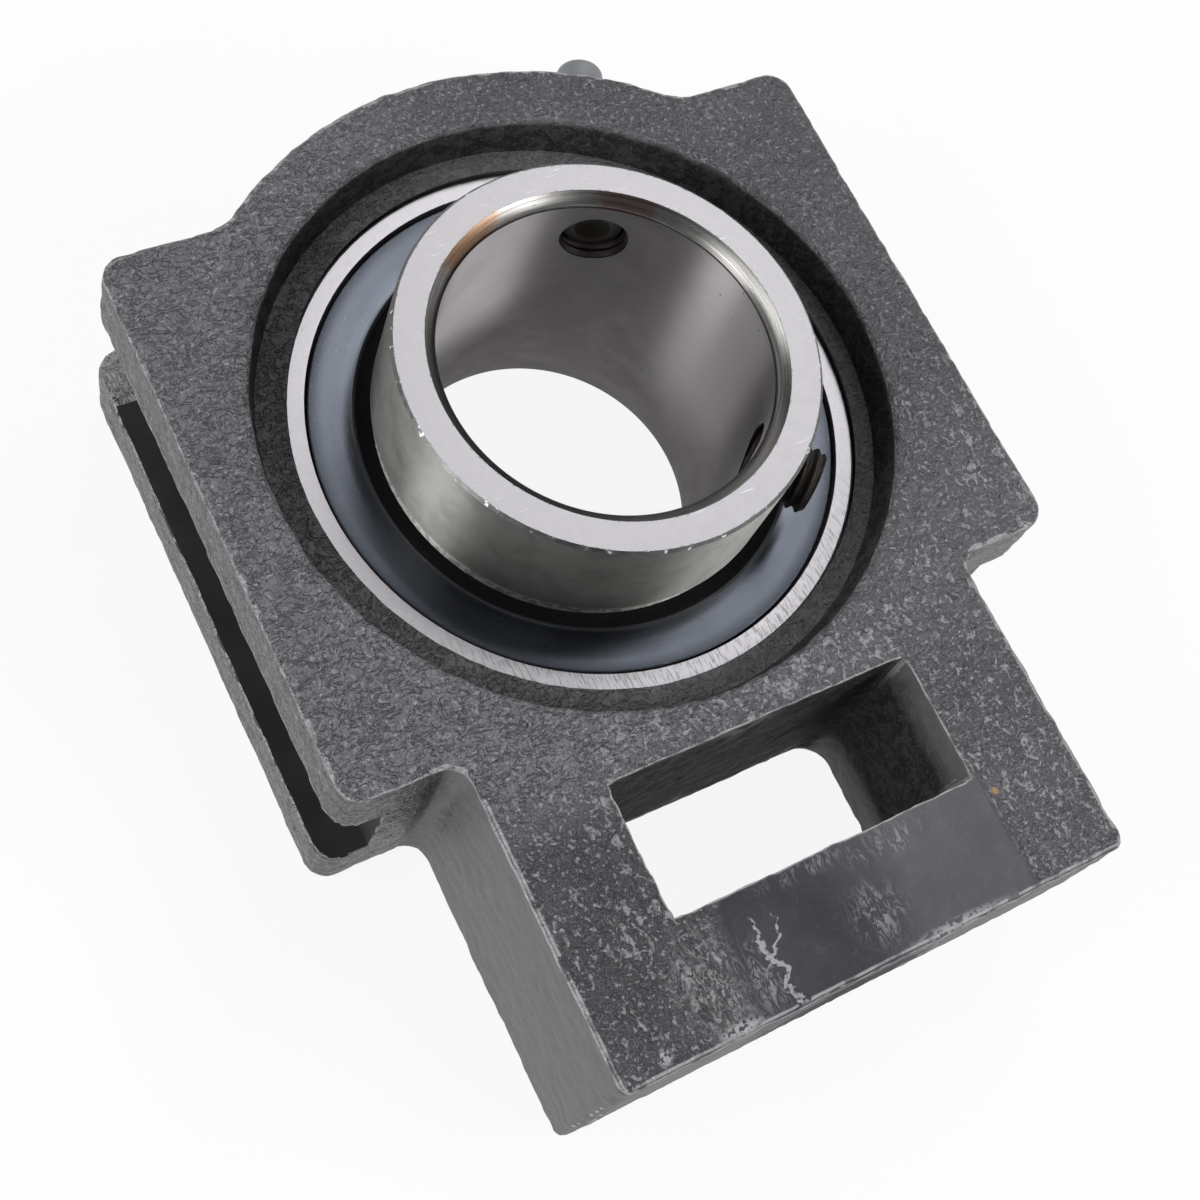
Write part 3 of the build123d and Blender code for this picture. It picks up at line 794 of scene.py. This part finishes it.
castBody = dict(
    octreeDepth=8,
    fineness=0.74,
    waveHeight=0.46,
    waveSize=9.0,
    lumpHeight=0.70,
    lumpSize=2.2,
    seed=4.0,
    leastEdge=32.0,
    smoothAngle=38,
)
castCuts = dict(
    seatRadius=45.25, lipHeight=13.2, grooveTop=8.245, grooveBottom=1.6, grooveRadius=46.45, slotHalf=12.2,
    guideFloor=51.0, guideSide=58.5, guideHalf=8.0, guideEdge=0.4, guideLand=34.0, flangeEnd=43.5,
    tailEnd=-91.1, windowFar=-73.0, holeRadius=14.5, holeChamfer=1.0,
    nippleAngle=61.3, nippleHeight=3.4, spotRadius=6.0, spotSeat=57.6, spotTop=62,
    tapRadius=3.0, tapEnd=50.6, ductRadius=1.3, ductEnd=44.5,
)
nippleSeat = outward(castCuts["nippleAngle"], castCuts["nippleHeight"])
# blanks that fill the machined forms before the skin is made
castBlanks = dict(
    seatInside=30, seatRadius=46.2, seatMiddle=47.2, seatBevel=12,
    guideInside=49, guideOutside=58.1, guideRound=3.6, guideEnd=43.1, guideHalf=9,
    holeRadius=15.2, holeStart=73.3, holeEnd=90.9,
    spotRadius=5.6, spotStart=47, spotEnd=58.0,
)


def castSkinTree():
    # lifts and sinks the casting's skin along the normal
    n, start = newTree("castSkin", ("Wave Height", "Wave Size", "Lump Height", "Lump Size", "Seed"))
    place = n.add("GeometryNodeInputPosition").outputs[0]
    normal = n.add("GeometryNodeInputNormal").outputs[0]
    total = 0.0
    for label, detail in (("Wave", 2.0), ("Lump", 3.0)):
        scale = n.divided(1.0, start[label + " Size"])
        values = {"Vector": place, "W": start["Seed"], "Scale": scale, "Detail": detail}
        texture = n.add("ShaderNodeTexNoise", values, noise_dimensions="4D")
        height = n.times(n.minus(texture.outputs["Fac"], 0.55), start[label + " Height"])
        total = n.plus(height, total)
    offset = n.add("ShaderNodeVectorMath", {0: normal, "Scale": total}, operation="SCALE").outputs[0]
    skin = n.add("GeometryNodeSetPosition", {"Geometry": start["Geometry"], "Offset": offset})
    smooth = n.add("GeometryNodeSetShadeSmooth", {0: skin.outputs[0]})
    return endTree(n, smooth.outputs[0], start["Finish"])


def edgeTree():
    # measures how far each point of the painted skin lies from an outer edge
    n, start = newTree("edgeWearAndHighlight", ("Least Angle",))
    angle = n.add("GeometryNodeInputMeshEdgeAngle").outputs["Signed Angle"]
    sharp = n.add("FunctionNodeCompare", {0: angle, 1: start["Least Angle"]}, operation="GREATER_THAN")
    whole, finish = start["Geometry"], start["Finish"]
    values = {"Geometry": whole, "Selection": sharp.outputs[0]}
    edges = n.add("GeometryNodeSeparateGeometry", values, domain="EDGE")
    near = n.add("GeometryNodeProximity", {0: edges.outputs[0]}, target_element="EDGES")
    values = {"Geometry": whole, "Name": "edgeDistance", "Value": near.outputs["Distance"]}
    stored = n.add("GeometryNodeStoreNamedAttribute", values, data_type="FLOAT", domain="POINT")
    painted = n.add("GeometryNodeMaterialSelection", {"Material": finish}).outputs[0]
    return endTree(n, stored.outputs[0], finish, painted)


def castFillers():
    # fills what is machined later, so that the skin runs on across it
    b = castBlanks
    lip, bevel = castCuts["lipHeight"], b["seatBevel"]
    inside, wide, widest = b["seatInside"], b["seatRadius"], b["seatMiddle"]
    fillers = [lathe("fill", [(inside, -lip, 0), (wide, -lip, 0), (widest, -bevel, 0), (widest, bevel, 0),
                              (wide, lip, 0), (inside, lip, 0)], 96, [], ring=False)]
    near, far, curve = b["guideInside"], b["guideEnd"], b["guideRound"]
    corner = arc(b["guideOutside"] - curve, far - curve, curve, 0, 90, 3)
    for side in (1, -1):
        outline = [(near, -far)] + [(x, -y) for x, y in reversed(corner)] + corner + [(near, far)]
        fillers.append(prism("fill", [(side * x, y) for x, y in outline], -b["guideHalf"], b["guideHalf"]))
    fillers.append(prism("fill", discOutline(b["holeRadius"], 48), b["holeStart"], b["holeEnd"], alongY))
    fillers.append(prism("fill", discOutline(b["spotRadius"], 32), b["spotStart"], b["spotEnd"], nippleSeat))
    return fillers


def castCutters():
    c = castCuts
    seat, lip = c["seatRadius"], c["lipHeight"]
    mouth = math.sqrt(seat * seat - lip * lip)
    lipAngle = math.degrees(math.asin(lip / seat))
    lowAngle = math.degrees(math.asin(c["grooveBottom"] / seat))
    highAngle = math.degrees(math.asin(c["grooveTop"] / seat))
    points = [(mouth, -lip - 2.5)] + arc(0, 0, seat, -lipAngle, lowAngle, 14)
    points += [(c["grooveRadius"], c["grooveBottom"]), (c["grooveRadius"], c["grooveTop"])]
    points += arc(0, 0, seat, highAngle, lipAngle, 5) + [(mouth, lip + 2.5)]
    cutters = [lathe("cutSeat", [(r, z, 0) for r, z in points], 288, [seatIron], ring=False, longest=9)]
    reach = math.degrees(math.asin(c["slotHalf"] / seat))
    side = arc(0, 0, seat, -reach, reach, 16)
    outline = side + [(-x, -y) for x, y in side]
    cutters.append(prism("cutSlots", outline, cadLow.z / mm - 1, -0.5, finishes=[seatIron]))
    wall, floor, face, edge = c["guideHalf"], c["guideFloor"], c["guideSide"], c["guideEdge"]
    over = 2.0
    profile = [(floor, -wall), (face - edge, -wall), (face + over, -wall - edge - over),
               (face + over, wall + edge + over), (face - edge, wall), (floor, wall)]
    far, land = c["flangeEnd"] + over, c["guideLand"]
    for turn in (1, -1):
        outline = [(turn * x, z) for x, z in profile]
        # the groove's last stretch keeps its paint, the rest is cut bare; its near-black tone is partly dark
        # iron and partly painted shade
        cutters.append(prism("cutGuide", outline, -land, far, alongY, [grooveIronShade]))
        cutters.append(prism("cutLand", outline, -far, -land + 0.01, alongY, [castFinish]))
    bore, bevel, tail = c["holeRadius"], c["holeChamfer"], -c["tailEnd"]
    hole = [(bore, -c["windowFar"] - 1.5), (bore, tail - bevel), (bore + bevel + 1, tail + 1)]
    tap, tapEnd, duct, spotSeat = c["tapRadius"], c["tapEnd"], c["ductRadius"], c["spotSeat"]
    spot = [(duct, c["ductEnd"]), (duct, tapEnd), (tap, tapEnd), (tap, spotSeat), (c["spotRadius"], spotSeat),
            (c["spotRadius"], c["spotTop"])]
    for name, points, steps, place in (("cutHole", hole, 96, alongY), ("cutSpot", spot, 48, nippleSeat)):
        cutter = lathe(name, [(r, h, 0) for r, h in points], steps, [holeIron], ring=False)
        cutter.data.transform(place)
        cutters.append(cutter)
    return cutters


def windowCorners():
    # the remesh rounds the window's front corners, so a slim wedge sharpens each of them
    w = castWindow
    wedges = []
    for sideX in (1, -1):
        for sideY in (1, -1):
            rings = []
            for z, back, arm in ((w["front"] + 1, 0.0, w["arm"]), (w["depth"], w["inset"], 0.05)):
                x, y = w["halfWidth"] - back, w["halfLength"] - back
                corners = [(x, y), (x - arm, y), (x - arm, y - arm), (x, y - arm)]
                rings.append([(sideX * px, sideY * py + w["middle"], z) for px, py in corners])
            wedges.append(loft("cutCorner", *rings, [castFinish]))
    return wedges


def makeCasting():
    b = castBody
    work = bmesh.new()
    work.from_mesh(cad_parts["housing"].data)
    bmesh.ops.remove_doubles(work, verts=work.verts, dist=1e-6)
    casting = closedPiece("castHousing", work, [])
    combine(casting, castFillers(), "UNION")
    remesh = casting.modifiers.new("blank", "REMESH")
    remesh.mode = "SHARP"
    remesh.octree_depth = b["octreeDepth"]
    remesh.scale = b["fineness"]
    remesh.sharpness = 1.0
    remesh.use_remove_disconnected = False
    keepResult(casting)
    print("casting blank", len(casting.data.polygons), "faces")
    useTree(casting, castSkinTree(), {
        "Wave Height": b["waveHeight"] * mm, "Wave Size": b["waveSize"] * mm,
        "Lump Height": b["lumpHeight"] * mm, "Lump Size": b["lumpSize"] * mm,
        "Seed": b["seed"], "Finish": castFinish})
    combine(casting, windowCorners() + castCutters(), "DIFFERENCE")
    useTree(casting, edgeTree(), {"Least Angle": math.radians(b["leastEdge"]), "Finish": castFinish})
    smoothByAngle(casting.data, b["smoothAngle"])
    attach(casting, "housing")
    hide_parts("housing")
    corners = sum(len(face.vertices) - 2 for face in casting.data.polygons)
    print("casting machined", len(casting.data.polygons), "faces,", corners, "triangles")


makeCasting()


thread = dict(
    pitch=1.5,
    flat=0.14,  # of half a pitch, at the crest and again at the root
    stepsAround=64,
    stepsPerTurn=12,
)


def threadTree():
    # a rod with a thread: its wall is a grid whose radius follows the helix, chamfered at both ends
    n, start = newTree("threadedRod", ("Crest Radius", "Thread Depth", "Pitch", "Length", "Chamfer"),
                       ("Steps Around", "Steps Along"))
    values = {"Vertices": start["Steps Around"], "Side Segments": start["Steps Along"],
              "Radius": start["Crest Radius"], "Depth": start["Length"]}
    rod = n.add("GeometryNodeMeshCylinder", values)
    x, y, z = n.split(n.add("GeometryNodeInputPosition").outputs[0])
    angle = n.calc("ARCTAN2", y, x)
    turns = n.minus(n.divided(z, start["Pitch"]), n.divided(angle, 2 * math.pi))
    saw = n.absolute(n.minus(n.times(n.calc("FRACT", turns), 2.0), 1.0))
    flank = n.calc("DIVIDE", n.minus(saw, thread["flat"]), 1 - 2 * thread["flat"], clamp=True)
    radius = n.minus(start["Crest Radius"], n.times(flank, start["Thread Depth"]))
    halfLength = n.times(start["Length"], 0.5)
    toEnd = n.minus(halfLength, n.absolute(z))
    loss = n.larger(n.minus(start["Chamfer"], toEnd), 0.0)
    radius = n.calc("MINIMUM", radius, n.minus(start["Crest Radius"], loss))
    place = n.joined(n.times(n.calc("COSINE", angle), radius), n.times(n.calc("SINE", angle), radius),
                     n.plus(z, halfLength))
    moved = n.add("GeometryNodeSetPosition", {"Geometry": rod.outputs["Mesh"], "Position": place})
    return endTree(n, moved.outputs[0], start["Finish"])


rodTree = threadTree()


def threadedRod(name, crest, depth, length, chamfer):
    t = thread
    rod = newObject(name, bpy.data.meshes.new(name))
    useTree(rod, rodTree, {
        "Crest Radius": crest * mm, "Thread Depth": depth * mm, "Pitch": t["pitch"] * mm, "Length": length * mm,
        "Chamfer": chamfer * mm, "Steps Around": t["stepsAround"],
        "Steps Along": round(length / t["pitch"] * t["stepsPerTurn"]), "Finish": blackOxide})
    return rod


ring = dict(
    boreRadius=24.60625, wallRadius=31.2, frontHeight=32.6, backHeight=19.0, chamfer=0.45,
    boreChamferOut=1.8, boreChamferDown=1.4, boreRound=0.6,
    seatRadius=30.6, seatStart=9.8, seatEnd=13.2, raceCentre=35.054, raceRadius=6.604,
    screwAngles=(64.0, -48.0), screwHeight=22.9, holeRadius=4.95, holeThreadDepth=0.5,
    cutterStart=22.5, cutterLength=12, steps=360, smoothAngle=28,
)
setScrew = dict(
    crest=4.9, depth=0.6, length=8.5, tipRadius=26.30625, chamfer=0.6,
    socketAcross=5.0, socketDepth=4.2, cupRadius=2.7, cupDepth=0.9, smoothAngle=30,
)


def makeInnerRing():
    r = ring
    c = r["chamfer"]
    wall, bore, seat = r["wallRadius"], r["boreRadius"], r["seatRadius"]
    front, back = r["frontHeight"], -r["backHeight"]
    out, down = r["boreChamferOut"], r["boreChamferDown"]
    edge = math.degrees(math.acos((wall - r["raceCentre"]) / r["raceRadius"]))
    face, boreWall, collar, bevel, race, edgeBevel = range(6)
    seatStart, seatEnd = r["seatStart"], r["seatEnd"]
    points = [(bore, back + down, bevel), (bore + out, back, face), (wall - c, back, edgeBevel),
              (wall, back + c, collar), (wall, -seatEnd, collar), (seat, -seatEnd, collar),
              (seat, -seatStart, collar), (wall, -seatStart, collar)]
    points += [(x, z, race) for x, z in arc(r["raceCentre"], 0, r["raceRadius"], -edge, -360 + edge, 24)][:-1]
    points += [(wall, math.sin(math.radians(edge)) * r["raceRadius"], collar), (wall, seatStart, collar),
               (seat, seatStart, collar), (seat, seatEnd, collar), (wall, seatEnd, collar),
               (wall, front - c, edgeBevel), (wall - c, front, face)]
    # the front bevel curves over into the bore
    low = down + r["boreRound"]
    for step in range(8):
        t = step / 8
        points.append((bore + out * (1 - t) ** 2, front - 2 * down * t * (1 - t) - low * t ** 2, bevel))
    points.append((bore, front - low, boreWall))
    finishes = [faceSteel, boreSteel, collarSteel, chamferSteel, raceSteel, edgeSteel]
    inner = lathe("innerRing", points, r["steps"], finishes)
    depth = r["holeThreadDepth"]
    cutters = []
    for angle in r["screwAngles"]:
        cutter = threadedRod("cutThread", r["holeRadius"] + depth, depth, r["cutterLength"], 0)
        cutter.data.transform(outward(angle, r["screwHeight"], r["cutterStart"]))
        cutters.append(cutter)
    combine(inner, cutters, "DIFFERENCE")
    smoothByAngle(inner.data, r["smoothAngle"])
    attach(inner, "inner_ring")
    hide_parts("inner_ring")


def makeSetScrews():
    s = setScrew
    for number, angle in enumerate(ring["screwAngles"], 1):
        top = s["length"]
        screw = threadedRod(f"setScrew{number}", s["crest"], s["depth"], top, s["chamfer"])
        corner = s["socketAcross"] / 2 / math.cos(math.pi / 6)
        hexagon = discOutline(corner, 6)
        socket = prism("cutSocket", hexagon, top - s["socketDepth"], top + 1, finishes=[blackOxide])
        radius, depth = s["cupRadius"], s["cupDepth"]
        cone = [(radius + 1, -depth / radius, 0), (0.05, depth, 0)]
        cup = lathe("cutCup", cone, 48, [screwPoint], ring=False)
        combine(screw, [socket, cup], "DIFFERENCE")
        screw.data.transform(outward(angle, ring["screwHeight"], s["tipRadius"]))
        smoothByAngle(screw.data, s["smoothAngle"])
        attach(screw, f"set_screw_{number}")
        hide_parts(f"set_screw_{number}")


flinger = dict(
    seatRadius=30.6, hubRadius=31.15, funnelRadius=33.1, bendRadius=33.7, rimRadius=40.2, rimRound=0.35,
    hubStart=9.8, hubTop=10.25, funnelTop=10.95, top=11.4, thickness=0.8,
    steps=240, smoothAngle=32,
)


def makeFlinger(name, side):
    # pressed sheet: sleeve on the ring, funnel, rolled bend, flat disc and rounded rim
    f = flinger
    seat, hub, funnel, bend, rim = [f[key + "Radius"] for key in ("seat", "hub", "funnel", "bend", "rim")]
    start, hubTop, funnelTop, top, curve = f["hubStart"], f["hubTop"], f["funnelTop"], f["top"], f["rimRound"]
    under = top - f["thickness"]
    # the second finish is the near-black painted shade of the sleeve and funnel
    sheet, dark = range(2)
    points = [(seat, start, dark), (seat, hubTop, dark), (hub, hubTop, dark), (funnel, funnelTop, sheet)]
    for t in (0.2, 0.45, 0.7, 1.0):
        rise = math.sin(t * math.pi / 2)
        points.append((funnel + (bend - funnel) * t, funnelTop + (top - funnelTop) * rise, sheet))
    points += [(r, z, sheet) for r, z in arc(rim - curve, top - curve, curve, 90, 0, 5)]
    points += [(rim, under, sheet), (bend + 0.2, under, sheet), (funnel, under - 0.15, dark),
               (hub + 0.5, start, dark)]
    points = [(r, side * z, finish) for r, z, finish in points]
    piece = lathe(name, points, f["steps"], [flingerFinish, funnelShade])
    smoothByAngle(piece.data, f["smoothAngle"])
    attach(piece, "inner_ring")
    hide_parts("flinger_front" if side > 0 else "flinger_back")


makeInnerRing()
makeSetScrews()
makeFlinger("flingerFront", 1)
makeFlinger("flingerBack", -1)
print("inner ring and set screws are made")


rivets = dict(
    count=10, circle=35.0, shankRadius=1.1, headRadius=2.0, sheet=0.9, headHeight=0.8, bevel=0.3,
    steps=32, smoothAngle=35,
)


def rivetTree():
    # one rivet, given as the object's own mesh, set round the ball circle between the balls
    n, start = newTree("rivetCircle", ("Circle Radius",), ("Count",))
    line = n.add("GeometryNodeMeshLine", {"Count": start["Count"]})
    index = n.add("GeometryNodeInputIndex").outputs[0]
    turn = n.divided(n.times(n.plus(index, 0.5), 2 * math.pi), start["Count"])
    place = n.joined(*[n.times(n.calc(axis, turn), start["Circle Radius"]) for axis in ("COSINE", "SINE")])
    points = n.add("GeometryNodeSetPosition", {"Geometry": line.outputs[0], "Position": place})
    copies = n.add("GeometryNodeInstanceOnPoints", {"Points": points.outputs[0], "Instance": start["Geometry"]})
    return endTree(n, copies.outputs[0], start["Finish"])


def makeRivets():
    v = rivets
    sheet, head, bevel = v["sheet"], v["headRadius"], v["bevel"]
    top = sheet + v["headHeight"]
    half = [(v["shankRadius"], sheet), (head, sheet), (head, top - bevel), (head - bevel, top)]
    profile = [(r, -z, 0) for r, z in reversed(half)] + [(r, z, 0) for r, z in half]
    rivet = lathe("cageRivets", profile, v["steps"], [], ring=False)
    useTree(rivet, rivetTree(), {"Count": v["count"], "Circle Radius": v["circle"] * mm, "Finish": rivetSteel})
    smoothByAngle(rivet.data, v["smoothAngle"])
    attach(rivet, "cage")
    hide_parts("cage_rivets")


makeRivets()


nodeFinishes = dict(
    outer_ring=outerSteel,
    seal_front=sealRubber, seal_back=sealRubber,
    cage_front=cageSteel, cage_back=cageSteel,
    nipple_body=nippleZinc, nipple_ball=ballChrome, nipple_spring=springWire, nipple_cap=capPlastic,
)
for number in range(1, 11):
    nodeFinishes[f"ball_{number:02d}"] = ballChrome
for node, finish in nodeFinishes.items():
    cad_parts[node].material_slots[0].material = finish
print("the other solids have their finish")
